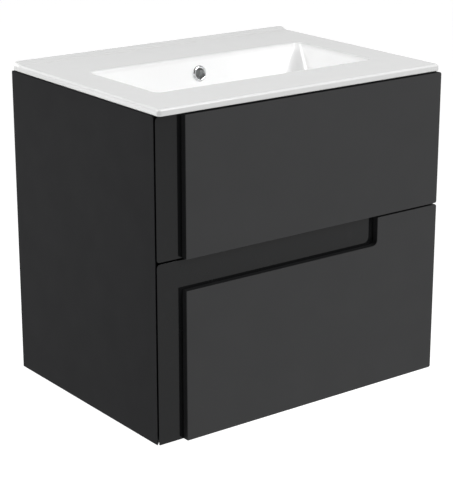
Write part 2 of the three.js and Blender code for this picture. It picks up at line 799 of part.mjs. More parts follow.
const FLOOR_HALF = SIDE_INNER - GAP;
const DRAWER_FLOOR_Y = [FRONT_BACK_Y + GAP, DRAWER_BACK];

// The two tools that cut the siphon's U out of a piece, open to the back.
function siphonCut(z0, z1) {
  const across = [-SIPHON_HALF, SIPHON_HALF];
  const pastBack = [DRAWER_BACK - 1, DRAWER_BACK + 10];
  return [prismUp(siphonOutline(0), z0, z1), block(across, pastBack, [z0, z1])];
}

function upperDrawerBox() {
  const floor = UPPER_BASE + FLOOR_TOP;
  const wallTop = UPPER_BASE + SIDE_BOTTOM + SIDE_HEIGHT;
  const past = 10; // how far the cutting tools reach past the piece
  const board = block([-FLOOR_HALF, FLOOR_HALF], DRAWER_FLOOR_Y, [UPPER_BASE + FLOOR_BOTTOM, floor]);
  const boardCut = siphonCut(UPPER_BASE + FLOOR_BOTTOM - past, floor + past);
  add("upper_drawer_bottom", cut(board, ...boardCut), material.drawerBoard);

  const wall = prismUp(siphonOutline(SIPHON_WALL), floor + GAP, wallTop);
  add("siphon_surround", cut(wall, ...siphonCut(floor - past, wallTop + past)), material.plastic);

  for (const [word, side] of SIDES) {
    const across = span(side, SIPHON_HALF + SIPHON_WALL + GAP, FLOOR_HALF);
    const panel = block(across, [DRAWER_BACK - BOARD, DRAWER_BACK], [floor + GAP, wallTop]);
    add(`upper_${word}_rear_panel`, panel, material.drawerBoard);
  }
}

const LOWER_REAR_HEIGHT = 180;
const GALLERY_Z = 208;
const GALLERY_RADIUS = 5;

// The rear panel is wider above the hollow sides than between them.
function lowerRearPanel(floor) {
  const sideTop = LOWER_BASE + SIDE_BOTTOM + SIDE_HEIGHT;
  const half = SIDE_OUTER;
  const face = outline([
    [-FLOOR_HALF, floor + GAP],
    [FLOOR_HALF, floor + GAP],
    [FLOOR_HALF, sideTop + 1],
    [half, sideTop + 1],
    [half, floor + LOWER_REAR_HEIGHT],
    [-half, floor + LOWER_REAR_HEIGHT],
    [-half, sideTop + 1],
    [-FLOOR_HALF, sideTop + 1],
  ]);
  add("lower_rear_panel", prismBack(face, DRAWER_BACK - BOARD, DRAWER_BACK), material.drawerBoard);
}

function lowerDrawerBox() {
  const floor = LOWER_BASE + FLOOR_TOP;
  const bottom = block([-FLOOR_HALF, FLOOR_HALF], DRAWER_FLOOR_Y, [LOWER_BASE + FLOOR_BOTTOM, floor]);
  add("lower_drawer_bottom", bottom, material.drawerBoard);
  lowerRearPanel(floor);
  const middle = (SIDE_INNER + SIDE_OUTER) / 2;
  for (const [word, side] of SIDES) {
    const rod = new THREE.Shape();
    rod.absarc(side * middle, GALLERY_Z, GALLERY_RADIUS, 0, 2 * Math.PI, false);
    const geometry = prismBack(rod, FRONT_BACK_Y + GAP, DRAWER_BACK - BOARD - GAP);
    add(`lower_${word}_gallery_rail`, geometry, material.paintedSteel);
  }
}

// ---- Assembly ----

sidePanels();
carcassBoards();
upperWallRail();
wallPlates();
hangers();
basin();
overflowRing();
wasteBody();
wasteGasket();
wasteNut();
wasteGuide();
wastePlug();
glossLayer("upper_gloss_layer", UPPER_FRONT_BOTTOM, FRONT_TOP);
glossLayer("lower_gloss_layer", 0, LOWER_FRONT_TOP);
upperFaceLayer();
lowerFaceLayer();
upperDrawerBox();
lowerDrawerBox();
for (const [level, base] of Object.entries({ upper: UPPER_BASE, lower: LOWER_BASE })) {
  for (const [word, side] of SIDES) {
    cabinetRail(level, base, word, side);
    middleProfile(level, base, word, side);
    drawerProfile(level, base, word, side);
    drawerSide(level, base, word, side);
    frontBracket(level, base, word, side);
  }
}

model.position.z = -(CARCASS_TOP - RAIL_HEIGHT / 2);

export default model;
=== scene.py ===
"""The looks of a wall-hung vanity cabinet with a ceramic basin top and two drawers.

Lengths are in millimetres until place() turns them into metres. A point is (x, y, h):
x to the right, y back towards the wall at 0, h up from the cabinet's underside.
"""

import bmesh
import bpy
import math
from mathutils import Matrix, Vector


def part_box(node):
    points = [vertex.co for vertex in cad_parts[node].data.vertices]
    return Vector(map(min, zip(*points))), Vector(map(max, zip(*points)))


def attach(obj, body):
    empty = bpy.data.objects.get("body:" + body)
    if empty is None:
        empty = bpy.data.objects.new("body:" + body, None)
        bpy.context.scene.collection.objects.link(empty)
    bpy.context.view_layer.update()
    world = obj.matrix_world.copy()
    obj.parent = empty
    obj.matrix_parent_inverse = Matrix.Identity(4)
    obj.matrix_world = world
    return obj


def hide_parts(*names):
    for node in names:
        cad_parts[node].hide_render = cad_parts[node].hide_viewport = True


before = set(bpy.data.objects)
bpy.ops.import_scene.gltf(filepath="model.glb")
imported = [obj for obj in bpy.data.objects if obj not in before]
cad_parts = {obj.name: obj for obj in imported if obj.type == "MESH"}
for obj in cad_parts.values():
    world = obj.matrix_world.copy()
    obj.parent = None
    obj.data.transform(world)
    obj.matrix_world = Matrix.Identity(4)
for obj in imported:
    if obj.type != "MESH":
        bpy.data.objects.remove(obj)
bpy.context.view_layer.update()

# ---- Sizes in millimetres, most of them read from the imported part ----

MM = 0.001
ORIGIN_HEIGHT = round(-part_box("bottom_panel")[0].z / MM, 1)  # above the cabinet's underside


def place(point):
    return (point[0] * MM, point[1] * MM, (point[2] - ORIGIN_HEIGHT) * MM)


def span(node, way):
    """Where a CAD node starts and ends along x, y or h, to a tenth of a millimetre."""
    axis = "xyh".index(way)
    lift = ORIGIN_HEIGHT if way == "h" else 0
    return [round(corner[axis] / MM + lift, 1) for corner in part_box(node)]


GAP = 0.3  # between pieces that touch
INNER_HALF, HALF = span("right_side_panel", "x")
BOARD = HALF - INNER_HALF
SIDE_EDGE_Y = span("right_side_panel", "y")[0]  # front edge of the side panels, where the mitre starts
CARCASS_TOP = span("right_side_panel", "h")[1]
FRONT_Y = span("upper_gloss_layer", "y")[0]
GLOSS_HALF = span("upper_gloss_layer", "x")[1]
FACE_Y = span("upper_matt_layer", "y")
FACE_LEFT = span("upper_matt_layer", "x")[0]
GAP_BOTTOM = span("lower_gloss_layer", "h")[1]
GAP_TOP, FRONT_TOP = span("upper_gloss_layer", "h")
RECESS = {"right": 160, "floor": 262, "radius": 9.5}
BASIN_HALF = span("basin", "x")[1]
BASIN_FRONT = span("basin", "y")[0]
BASIN_BOTTOM = 555
DECK = 567
RIM = 4.5
SLAB_CORNER = 7
BOWL_CORNER = 16
BOWL_HALF = 233.5
BOWL_Y = (-350, -136.5)
WASTE_Y = sum(BOWL_Y) / 2
OVERFLOW = Vector((0, -144.75, 536.5))
OVERFLOW_AXIS = Vector((0, -0.9864, 0.1643))
RUNNER_BASE = {level: span(f"{level}_left_cabinet_rail", "h")[0] for level in ("upper", "lower")}
SIDES = {"left": -1, "right": 1}
UP = Vector((0, 0, 1))
BACKWARD = Vector((0, 1, 0))
FORWARD = Vector((0, -1, 0))
SHARP = math.radians(38)  # edges sharper than this stay sharp
WELD = 0.002
ARC_STEPS = 5


# ---- Outlines ----


def rounded(corners, steps=ARC_STEPS):
    """A closed outline from (u, v, radius) corners, each one turned into an arc."""
    outline = []
    count = len(corners)
    for i, (u, v, radius) in enumerate(corners):
        here = Vector((u, v))
        before = (Vector(corners[i - 1][:2]) - here).normalized()
        after = (Vector(corners[(i + 1) % count][:2]) - here).normalized()
        if radius <= 0:
            outline.append((u, v))
            continue
        half = before.angle(after) / 2
        reach = radius / math.tan(half)
        centre = here + (before + after).normalized() * radius / math.sin(half)
        start = here + before * reach - centre
        turn = start.angle_signed(here + after * reach - centre)
        for k in range(steps + 1):
            spoke = start.copy()
            spoke.rotate(Matrix.Rotation(-turn * k / steps, 2))
            outline.append(tuple(centre + spoke))
    return outline


def box_outline(u0, u1, v0, v1, radius=1, steps=3):
    return rounded([(u0, v0, radius), (u1, v0, radius), (u1, v1, radius), (u0, v1, radius)], steps)


def area(outline):
    pairs = zip(outline, outline[1:] + outline[:1])
    return sum(a[0] * b[1] - b[0] * a[1] for a, b in pairs) / 2


def inset(outline, distance):
    """The outline moved inwards by the distance, with the same number of points."""
    if distance == 0:
        return list(outline)
    sign = 1 if area(outline) > 0 else -1
    moved = []
    count = len(outline)
    for i in range(count):
        a = Vector(outline[i - 1])
        b = Vector(outline[i])
        c = Vector(outline[(i + 1) % count])
        before = (b - a).normalized()
        after = (c - b).normalized()
        n1 = Vector((-before.y, before.x)) * sign
        n2 = Vector((-after.y, after.x)) * sign
        middle = n1 + n2
        moved.append(tuple(b + middle * distance * 2 / max(middle.length_squared, 0.4)))
    return moved


def circle(u, v, radius, count=24):
    angles = [2 * math.pi * i / count for i in range(count)]
    return [(u + radius * math.cos(a), v + radius * math.sin(a)) for a in angles]


def on_side(side, corners):
    return [(side * corner[0],) + tuple(corner[1:]) for corner in corners]


# ---- Meshes ----


def upright(u, v, t):
    """A plan outline, extruded upwards."""
    return (u, v, t)


def facing(u, v, t):
    """An outline seen from the front, extruded along y."""
    return (u, t, v)


def across(u, v, t):
    """A section seen from the side, extruded along x."""
    return (t, u, v)


def shade(mesh):
    mesh.shade_smooth()
    mesh.set_sharp_from_angle(angle=SHARP)


def solid(name, rings, closed=False):
    """A closed skin over rings of points. A closed one joins its last ring to its first."""
    count = len(rings[0])
    points = [place(point) for ring in rings for point in ring]
    faces = []
    for r in range(len(rings) if closed else len(rings) - 1):
        low = r * count
        high = (r + 1) % len(rings) * count
        for i in range(count):
            j = (i + 1) % count
            faces.append((low + i, low + j, high + j, high + i))
    if not closed:
        faces.append(tuple(reversed(range(count))))
        faces.append(tuple(range(len(points) - count, len(points))))
    mesh = bpy.data.meshes.new(name)
    mesh.from_pydata(points, [], faces)
    work = bmesh.new()
    work.from_mesh(mesh)
    bmesh.ops.remove_doubles(work, verts=work.verts, dist=WELD * MM)
    bmesh.ops.recalc_face_normals(work, faces=work.faces)
    flat = [face for face in work.faces if len(face.verts) > 4]
    bmesh.ops.triangulate(work, faces=flat)
    work.to_mesh(mesh)
    work.free()
    shade(mesh)
    piece = bpy.data.objects.new(name, mesh)
    bpy.context.scene.collection.objects.link(piece)
    return piece


def edge_steps(edge):
    """Pairs of (inset, distance from the end) that round an end's edge."""
    if edge == 0:
        return [(0, 0)]
    turns = [math.pi / 2 * k / 3 for k in range(4)]
    return [(edge * (1 - math.sin(a)), edge * (1 - math.cos(a))) for a in turns]


def slab(name, outline, ends, edge, axis):
    """An outline extruded between the two ends, with rounded edges."""
    low, high = min(ends), max(ends)
    steps = edge_steps(edge)
    rings = [[axis(u, v, low + t) for u, v in inset(outline, i)] for i, t in steps]
    rings += [[axis(u, v, high - t) for u, v in inset(outline, i)] for i, t in reversed(steps)]
    return solid(name, rings)


def turned(name, profile, origin, direction=UP, segments=48, closed=True):
    """A profile of (radius, height) points turned round an axis.

    A third value makes that point follow a hexagon with that distance to its flats.
    """
    turn = UP.rotation_difference(direction)
    rings = []
    for point in profile:
        radius, height = point[:2]
        flats = point[2] if len(point) > 2 else None
        ring = []
        for i in range(segments):
            angle = 2 * math.pi * i / segments
            reach = radius
            if flats:
                part = (angle % (math.pi / 3)) - math.pi / 6
                reach = min(radius, flats / math.cos(part))
            local = Vector((reach * math.cos(angle), reach * math.sin(angle), height))
            ring.append(Vector(origin) + turn @ local)
        rings.append(ring)
    return solid(name, rings, closed)


def bake(piece):
    bpy.context.view_layer.update()
    graph = bpy.context.evaluated_depsgraph_get()
    mesh = bpy.data.meshes.new_from_object(piece.evaluated_get(graph))
    piece.modifiers.clear()
    piece.data = mesh
    shade(mesh)


def combine(piece, tools, operation="DIFFERENCE"):
    """Cuts the tools out of the piece, or joins them to it, and removes the tools."""
    for tool in tools:
        modifier = piece.modifiers.new("combine", "BOOLEAN")
        modifier.operation = operation
        modifier.solver = "EXACT"
        modifier.object = tool
    bake(piece)
    for tool in tools:
        bpy.data.objects.remove(tool)
    return piece


# ---- Materials ----


class Graph:
    """Small helper to build one material's nodes."""

    def __init__(self, name):
        self.material = bpy.data.materials.new(name)
        self.material.use_nodes = True
        self.tree = self.material.node_tree
        self.shader = self.tree.nodes["Principled BSDF"]
        self.place = self.add("ShaderNodeTexCoord").outputs["Object"]

    def add(self, kind, **values):
        node = self.tree.nodes.new(kind)
        for key, value in values.items():
            setattr(node, key, value)
        return node

    def link(self, source, target):
        self.tree.links.new(source, target)

    def stretched(self, scale):
        node = self.add("ShaderNodeMapping")
        node.inputs["Scale"].default_value = scale
        self.link(self.place, node.inputs["Vector"])
        return node.outputs["Vector"]

    def noise(self, scale, detail=3, stretch=None):
        node = self.add("ShaderNodeTexNoise")
        node.inputs["Scale"].default_value = scale
        node.inputs["Detail"].default_value = detail
        self.link(self.stretched(stretch) if stretch else self.place, node.inputs["Vector"])
        return node.outputs["Fac"]

    def ramp(self, source, before, after):
        """The source's range before, mapped onto the range after and held there."""
        node = self.add("ShaderNodeMapRange")
        node.inputs["From Min"].default_value = before[0]
        node.inputs["From Max"].default_value = before[1]
        node.inputs["To Min"].default_value = after[0]
        node.inputs["To Max"].default_value = after[1]
        self.link(source, node.inputs["Value"])
        return node.outputs["Result"]

    def scaled(self, colour, factor):
        node = self.add("ShaderNodeVectorMath", operation="SCALE")
        node.inputs[0].default_value = colour
        self.link(factor, node.inputs["Scale"])
        return node.outputs["Vector"]

    def mixed(self, factor, first, second):
        """The first colour, turned into the second where the factor is 1."""
        node = self.add("ShaderNodeMix", data_type="RGBA")
        self.link(factor, node.inputs["Factor"])
        self.link(first, node.inputs[6])
        node.inputs[7].default_value = (*second, 1)
        return node.outputs[2]

    def away(self, source, centre):
        """The distance of the source from a centre."""
        node = self.add("ShaderNodeMath", operation="SUBTRACT")
        node.inputs[1].default_value = centre
        self.link(source, node.inputs[0])
        size = self.add("ShaderNodeMath", operation="ABSOLUTE")
        self.link(node.outputs[0], size.inputs[0])
        return size.outputs[0]

    def times(self, first, second):
        node = self.add("ShaderNodeMath", operation="MULTIPLY")
        self.link(first, node.inputs[0])
        self.link(second, node.inputs[1])
        return node.outputs[0]

    def plus(self, first, second):
        node = self.add("ShaderNodeMath", operation="ADD", use_clamp=True)
        self.link(first, node.inputs[0])
        self.link(second, node.inputs[1])
        return node.outputs[0]

    def bump(self, height, strength, distance):
        node = self.add("ShaderNodeBump")
        node.inputs["Strength"].default_value = strength
        node.inputs["Distance"].default_value = distance
        self.link(height, node.inputs["Height"])
        self.link(node.outputs["Normal"], self.shader.inputs["Normal"])


def finish(
    name,
    colour,
    rough,
    metal=0.0,
    specular=0.5,
    drift=0.06,
    rough_drift=0.03,
    grain=900,
    bump=0.15,
    depth=0.00002,
    stretch=None,
    worn=None,
    wear=0.4,
):
    """A surface whose colour, roughness and relief all drift a little, worn here and there."""
    graph = Graph(name)
    shader = graph.shader
    clouds = graph.ramp(graph.noise(9, 4), (0.3, 0.7), (1 - drift, 1 + drift))
    tint = graph.scaled(colour, clouds)
    rubbed = graph.ramp(graph.noise(34, 8), (0.6, 0.78), (0, wear))
    if worn:
        tint = graph.mixed(rubbed, tint, worn)
    graph.link(tint, shader.inputs["Base Color"])
    sheen = graph.ramp(graph.noise(21, 5, stretch), (0.3, 0.7), (rough - rough_drift, rough + rough_drift))
    scuffs = graph.ramp(rubbed, (0, 1), (0, 0.12))
    graph.link(graph.plus(sheen, scuffs), shader.inputs["Roughness"])
    graph.bump(graph.noise(grain, 2, stretch), bump, depth)
    shader.inputs["Metallic"].default_value = metal
    shader.inputs["Specular IOR Level"].default_value = specular
    return graph.material


FINISHES = {
    "carcass_lacquer": finish(
        "carcass_lacquer", (0.0115, 0.0117, 0.0123), 0.6, specular=0.04, drift=0.03,
        grain=1400, bump=0.12, worn=(0.0165, 0.0168, 0.0176),
    ),
    "gloss_front": finish(
        "gloss_front", (0.0058, 0.006, 0.0063), 0.045, specular=0.18, drift=0.03,
        rough_drift=0.015, grain=160, bump=0.02, worn=(0.016, 0.016, 0.017), wear=0.2,
    ),
    "matt_front": finish(
        "matt_front", (0.0229, 0.0232, 0.0239), 0.55, specular=0.2, drift=0.025,
        grain=1600, bump=0.14, worn=(0.0278, 0.0281, 0.0289),
    ),
    "chrome": finish(
        "chrome", (0.78, 0.79, 0.8), 0.07, metal=1.0, drift=0.03, rough_drift=0.02,
        grain=400, bump=0.02, worn=(0.7, 0.71, 0.71), wear=0.3,
    ),
    "brass": finish(
        "brass", (0.6, 0.43, 0.19), 0.3, metal=1.0, drift=0.1, rough_drift=0.08,
        grain=700, bump=0.12, stretch=(1, 1, 6), worn=(0.42, 0.29, 0.13), wear=0.6,
    ),
    "rubber": finish(
        "rubber", (0.018, 0.018, 0.019), 0.72, specular=0.3, grain=1200, bump=0.3,
        worn=(0.04, 0.04, 0.04), wear=0.5,
    ),
    "grey_plastic": finish(
        "grey_plastic", (0.2, 0.205, 0.21), 0.48, specular=0.4, grain=1500, bump=0.3,
        worn=(0.26, 0.265, 0.27),
    ),
    "drawer_board": finish(
        "drawer_board", (0.1, 0.102, 0.106), 0.5, specular=0.35, drift=0.1, rough_drift=0.06,
        grain=260, bump=0.3, stretch=(1.0, 0.12, 1.0), worn=(0.13, 0.132, 0.135),
    ),
    "drawer_metal": finish(
        "drawer_metal", (0.062, 0.065, 0.07), 0.4, specular=0.45, grain=1300, bump=0.25,
        worn=(0.09, 0.093, 0.097),
    ),
    "runner_steel": finish(
        "runner_steel", (0.52, 0.53, 0.55), 0.3, metal=1.0, drift=0.08, rough_drift=0.09,
        grain=420, bump=0.12, stretch=(1.0, 0.15, 1.0), worn=(0.36, 0.37, 0.38), wear=0.6,
    ),
}


# The deck's white and the rubbed patches are the glaze's own colours. The bowl's whiter colour is painted
# light, and the edge's darker colour is painted shade.
GLAZE_WITH_PAINTED_LIGHT_AND_SHADE = {
    "deck": (0.85, 0.853, 0.85),
    "bowl": (0.965, 0.966, 0.965),
    "edge": (0.5, 0.503, 0.5),
    "rubbed": (0.84, 0.842, 0.836),
}
PAINTED_EDGE_SHADE_FADE = (16, 8)  # how far in from the slab's outside the edge's painted shade fades out
PAINTED_BOWL_LIGHT_FADE = (9, 1)  # how far below the deck the bowl's painted light comes in
PAINTED_RIM_SHADE_FADE = (4, 1)  # and the edge's painted shade


def glaze_with_painted_light_and_shade():
    """White glaze, with painted light in the bowl, which is coloured whitest, and painted shade round the
    slab's thin edge, which is coloured duller.
    """
    graph = Graph("ceramic")
    split = graph.add("ShaderNodeSeparateXYZ")
    graph.link(graph.place, split.inputs[0])
    x, y, z = split.outputs
    deck = DECK - ORIGIN_HEIGHT
    half_depth = -BASIN_FRONT / 2
    wide = graph.ramp(graph.away(x, 0), [(BASIN_HALF - d) * MM for d in PAINTED_EDGE_SHADE_FADE], (1, 0))
    deep = graph.ramp(graph.away(y, -half_depth * MM), [(half_depth - d) * MM for d in PAINTED_EDGE_SHADE_FADE], (1, 0))
    inside = graph.times(wide, deep)
    # Painted light: below the deck, inside the bowl, the glaze is coloured whiter than on the deck.
    bowl = graph.times(graph.ramp(z, [(deck - d) * MM for d in PAINTED_BOWL_LIGHT_FADE], (1, 0)), inside)
    # Painted shade: the slab's outside edge, below the deck, is coloured darker.
    low = graph.ramp(z, [(deck - d) * MM for d in PAINTED_RIM_SHADE_FADE], (1, 0))
    edge = graph.times(low, graph.ramp(inside, (0, 1), (1, 0)))
    clouds = graph.ramp(graph.noise(9, 4), (0.3, 0.7), (0.994, 1.006))
    tint = graph.scaled(GLAZE_WITH_PAINTED_LIGHT_AND_SHADE["deck"], clouds)
    tint = graph.mixed(bowl, tint, GLAZE_WITH_PAINTED_LIGHT_AND_SHADE["bowl"])
    tint = graph.mixed(edge, tint, GLAZE_WITH_PAINTED_LIGHT_AND_SHADE["edge"])
    rubbed = graph.ramp(graph.noise(34, 8), (0.62, 0.8), (0, 0.15))
    graph.link(graph.mixed(rubbed, tint, GLAZE_WITH_PAINTED_LIGHT_AND_SHADE["rubbed"]), graph.shader.inputs["Base Color"])
    sheen = graph.ramp(graph.noise(21, 5), (0.3, 0.7), (0.14, 0.2))
    graph.link(sheen, graph.shader.inputs["Roughness"])
    graph.bump(graph.noise(120, 2), 0.015, 0.00002)
    graph.shader.inputs["Specular IOR Level"].default_value = 0.5
    return graph.material


FINISHES["ceramic"] = glaze_with_painted_light_and_shade()
# Painted shade: a darker copy of the matt finish for the matt layers' side faces, with the same kind of
# wear.
MATT_EDGE_PAINTED_SHADE = finish(
    "matt_front_edge_painted_shade", (0.013, 0.0132, 0.014), 0.6, specular=0.12, drift=0.05,
    grain=1600, bump=0.2, worn=(0.02, 0.02, 0.021),
)


def fit(piece, body, slot, *nodes):
    """Gives a piece its finish and its body, and shows it in place of the named CAD nodes."""
    piece.data.materials.clear()
    piece.data.materials.append(FINISHES[slot])
    even = piece.modifiers.new("even_normals", "WEIGHTED_NORMAL")
    even.keep_sharp = True
    even.weight = 90
    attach(piece, body)
    if nodes:
        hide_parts(*nodes)
    return piece


def screw(name, origin, direction, body, radius=3.6, slot="runner_steel"):
    """A domed screw head with a hexagon socket."""
    socket = radius * 0.42
    profile = [
        (radius * 0.5, -1.2),
        (radius, 0.05),
        (radius, 0.5),
        (radius * 0.86, 1.1),
        (radius * 0.6, 1.5),
        (radius * 0.55, 1.55, socket * 1.05),
        (radius * 0.5, 1.1, socket),
        (radius * 0.5, 0.3, socket),
        (radius * 0.25, 0.2, socket * 0.5),
    ]
    head = turned(name, profile, origin, direction, 24, closed=False)
    return fit(head, body, slot)


def button(name, origin, direction, radius, height, body, slot="grey_plastic"):
    """A low round cap with a rounded edge and a shallow dimple."""
    profile = [
        (radius * 0.4, -0.6),
        (radius * 0.98, -0.6),
        (radius, height * 0.5),
        (radius - height * 0.3, height * 0.9),
        (radius * 0.8, height),
        (radius * 0.4, height * 0.93),
        (radius * 0.1, height * 0.85),
    ]
    cap = turned(name, profile, origin, direction, 32, closed=False)
    return fit(cap, body, slot)


# ---- Basin ----

BOWL_LEVELS = [
    # depth below the deck, inset from the edge of the opening, corner radius
    (RIM, RIM, BOWL_CORNER - RIM),
    (20, 6.5, 24),
    (47, 11, 44),
    (75, 17, 60),
    (92, 25, 70),
    (102, 36, 66),
    (108, 52, 53),
]
SHELL = 9
LIP = {"start": -26, "crest": -9.5, "height": 4.2}
CORNER_STEPS = 9
FRONT_STEPS = 26
LIP_STATIONS = [2 * k for k in range(16)]  # distances from a side's back end
FLOOR_SHARES = [0.03, 0.07, 0.12, 0.2, 0.32, 0.5, 0.75, 1]


def lip_height(y):
    share = (y - LIP["start"]) / (LIP["crest"] - LIP["start"])
    share = min(max(share, 0), 1)
    return LIP["height"] * share * share * (3 - 2 * share)


def side_stations(length):
    """Distances from the back end of a basin's side, closer together at the lip."""
    scale = min(1, length / 90)
    dense = [d * scale for d in LIP_STATIONS]
    rest = 14
    left = length - dense[-1]
    return dense + [dense[-1] + left * k / rest for k in range(1, rest + 1)]


def ring(half, y0, y1, radius, height):
    """A rounded rectangle in plan, with the same number of points whatever its size."""
    points = []
    reach = half - radius
    stations = side_stations(y1 - y0 - 2 * radius)
    for k in range(FRONT_STEPS + 1):
        points.append((-reach + 2 * reach * k / FRONT_STEPS, y0))
    points += corner(reach, y0 + radius, radius, -90)
    points += [(half, y1 - radius - d) for d in reversed(stations)]
    points += corner(reach, y1 - radius, radius, 0)
    for k in range(FRONT_STEPS + 1):
        points.append((reach - 2 * reach * k / FRONT_STEPS, y1))
    points += corner(-reach, y1 - radius, radius, 90)
    points += [(-half, y1 - radius - d) for d in stations]
    points += corner(-reach, y0 + radius, radius, 180)
    return [(x, y, height) for x, y in points]


def corner(x, y, radius, start):
    angles = [math.radians(start + 90 * k / CORNER_STEPS) for k in range(1, CORNER_STEPS)]
    return [(x + radius * math.cos(a), y + radius * math.sin(a)) for a in angles]


def raised(points):
    return [(x, y, h + lip_height(y)) for x, y, h in points]


def bowl_ring(inset_by, radius, height, grow=0):
    y0 = BOWL_Y[0] + inset_by - grow
    y1 = BOWL_Y[1] - inset_by + grow
    return ring(BOWL_HALF - inset_by + grow, y0, y1, radius + grow, height)


def round_like(points, radius, height):
    """A circle round the waste whose points answer those of a ring of the bowl."""
    wide = max(x for x, y, h in points)
    deep = max(y for x, y, h in points) - WASTE_Y
    made = []
    for x, y, h in points:
        angle = math.atan2((y - WASTE_Y) / deep, x / wide)
        made.append((radius * math.cos(angle), WASTE_Y + radius * math.sin(angle), height))
    return made


def spline(points, steps):
    """Catmull-Rom curve through the points."""
    points = [Vector(p) for p in points]
    points = [2 * points[0] - points[1]] + points + [2 * points[-1] - points[-2]]
    curve = []
    for a, b, c, d in zip(points, points[1:], points[2:], points[3:]):
        for k in range(steps):
            t = k / steps
            twice = 2 * b + (c - a) * t + (2 * a - 5 * b + 4 * c - d) * t * t
            twice += (3 * b - a - 3 * c + d) * t ** 3
            curve.append(twice / 2)
    return curve + [points[-2]]


def bowl_floor(last, circle_radius, drop, spread=17):
    """Rings from the bowl's last level to a circle, dropping quickly and then level."""
    target = round_like(last, circle_radius, 0)
    rings = []
    for share in FLOOR_SHARES:
        points = []
        for a, b in zip(last, target):
            x = a[0] + (b[0] - a[0]) * share
            y = a[1] + (b[1] - a[1]) * share
            gone = min(math.hypot(x - a[0], y - a[1]) / spread, 1)
            points.append((x, y, a[2] - drop * gone * (2 - gone)))
        rings.append(points)
    return rings


def basin_inside():
    """Rings from the waste's seat up the bowl to its edge."""
    levels = spline(BOWL_LEVELS, 5)
    walls = [bowl_ring(i, radius, DECK - depth) for depth, i, radius in levels]
    floor = bowl_floor(walls[-1], 37, 3.2)
    seat_height = floor[-1][0][2]
    seat = [(35.6, -0.5), (34.4, -1.4), (34, -2.4), (24, -2.5), (23, -3.2)]
    like = floor[-1]
    seats = [round_like(like, radius, seat_height + drop) for radius, drop in seat]
    return list(reversed(seats)) + list(reversed(floor)) + list(reversed(walls))


def bowl_edge():
    rings = []
    for degrees in (72, 54, 36, 18, 0):
        angle = math.radians(degrees)
        i = RIM * math.sin(angle)
        rings.append(bowl_ring(i, BOWL_CORNER - i, DECK - RIM * (1 - math.cos(angle))))
    return rings


def deck():
    """Rings across the deck, from the bowl's edge out to the rounding of the rim."""
    backs = [-100, -70, -48, -36] + [-30 + 1.5 * k for k in range(17)]
    rings = []
    for y1 in backs:
        share = (y1 + RIM) / (BOWL_Y[1] + RIM)
        half = (BASIN_HALF - RIM) * (1 - share) + BOWL_HALF * share
        y0 = (BASIN_FRONT + RIM) * (1 - share) + BOWL_Y[0] * share
        radius = (SLAB_CORNER - RIM) * (1 - share) + BOWL_CORNER * share
        rings.append(raised(ring(half, y0, y1, radius, DECK)))
    return rings


def slab_ring(i, height):
    return ring(BASIN_HALF - i, BASIN_FRONT + i, -i, SLAB_CORNER - i, height)


def outer_edge():
    """Rings down the slab's rounded outside and onto its underside."""
    rings = []
    for degrees in range(90, -1, -15):
        angle = math.radians(degrees)
        i = RIM * (1 - math.cos(angle))
        rings.append(raised(slab_ring(i, DECK - RIM * (1 - math.sin(angle)))))
    for degrees in (0, 30, 60, 90):
        angle = math.radians(degrees)
        rings.append(slab_ring(2 * (1 - math.cos(angle)), BASIN_BOTTOM + 2 * (1 - math.sin(angle))))
    return rings


def basin_underside():
    """Rings from the slab's underside down the bowl's outside to the waste's bore."""
    rings = []
    for i, drop in ((-1.5, 0), (1.5, 0.6), (3.6, 2.4), (4.4, 5)):
        rings.append(bowl_ring(i, BOWL_CORNER - i / 2, BASIN_BOTTOM - drop, SHELL))
    levels = spline([(15, 5.6, 21)] + BOWL_LEVELS[1:], 4)
    rings += [bowl_ring(i, radius, DECK - depth - SHELL, SHELL) for depth, i, radius in levels[1:]]
    rings += bowl_floor(rings[-1], 47, 2.4)
    foot = rings[-1]
    boss = [(44.5, -1.2), (42.6, -3.6), (41.6, -6), (37, -13.2), (35.4, -13.5), (24, -13.6), (23, -13.2)]
    return rings + [round_like(foot, radius, foot[0][2] + drop) for radius, drop in boss]


CASING = [
    (WASTE_Y, 434.2, 0),
    (-122.5, 434.2, 5),
    (-110.5, 446, 5),
    (-110.5, 557.5, 0),
    (-139, 557.5, 0),
    (-139.5, 495, 10),
    (-172.5, 450, 4),
    (WASTE_Y, 450, 0),
]
CHANNEL = [
    (WASTE_Y, 441, 0),
    (-127.5, 441, 4),
    (-117.5, 451, 4),
    (-117.5, 550.5, 3),
    (-129.5, 550.5, 3),
    (-129.5, 507, 0),
    (-131.5, 467, 6),
    (-143.5, 447, 4),
    (WASTE_Y, 447, 0),
]


def build_basin():
    rings = basin_inside() + bowl_edge() + deck() + outer_edge() + basin_underside()
    basin = solid("basin_ceramic", rings, closed=True)
    casing = slab("overflow_casing", rounded(CASING), (-19, 19), 3, across)
    combine(basin, [casing], "UNION")
    channel = slab("overflow_channel", rounded(CHANNEL), (-12, 12), 0, across)
    depths = [(12, -24), (12, 12)]
    bore = turned("overflow_bore", depths, OVERFLOW, OVERFLOW_AXIS, 48, closed=False)
    combine(basin, [channel, bore])
    fit(basin, "cabinet", "ceramic", "basin")


def build_overflow_ring():
    profile = [
        (11.4, -10),
        (11.4, 0.3),
        (14.3, 0.3),
        (14.3, 0.9),
        (14.05, 1.7),
        (13.5, 2.5),
        (12.7, 3.15),
        (11.8, 3.45),
        (10.9, 3.4),
        (10.1, 3.0),
        (9.5, 2.3),
        (9.2, 1.3),
        (9.2, -10),
    ]
    made = turned("overflow_trim_ring", profile, OVERFLOW, OVERFLOW_AXIS, 72)
    fit(made, "cabinet", "chrome", "overflow_ring")


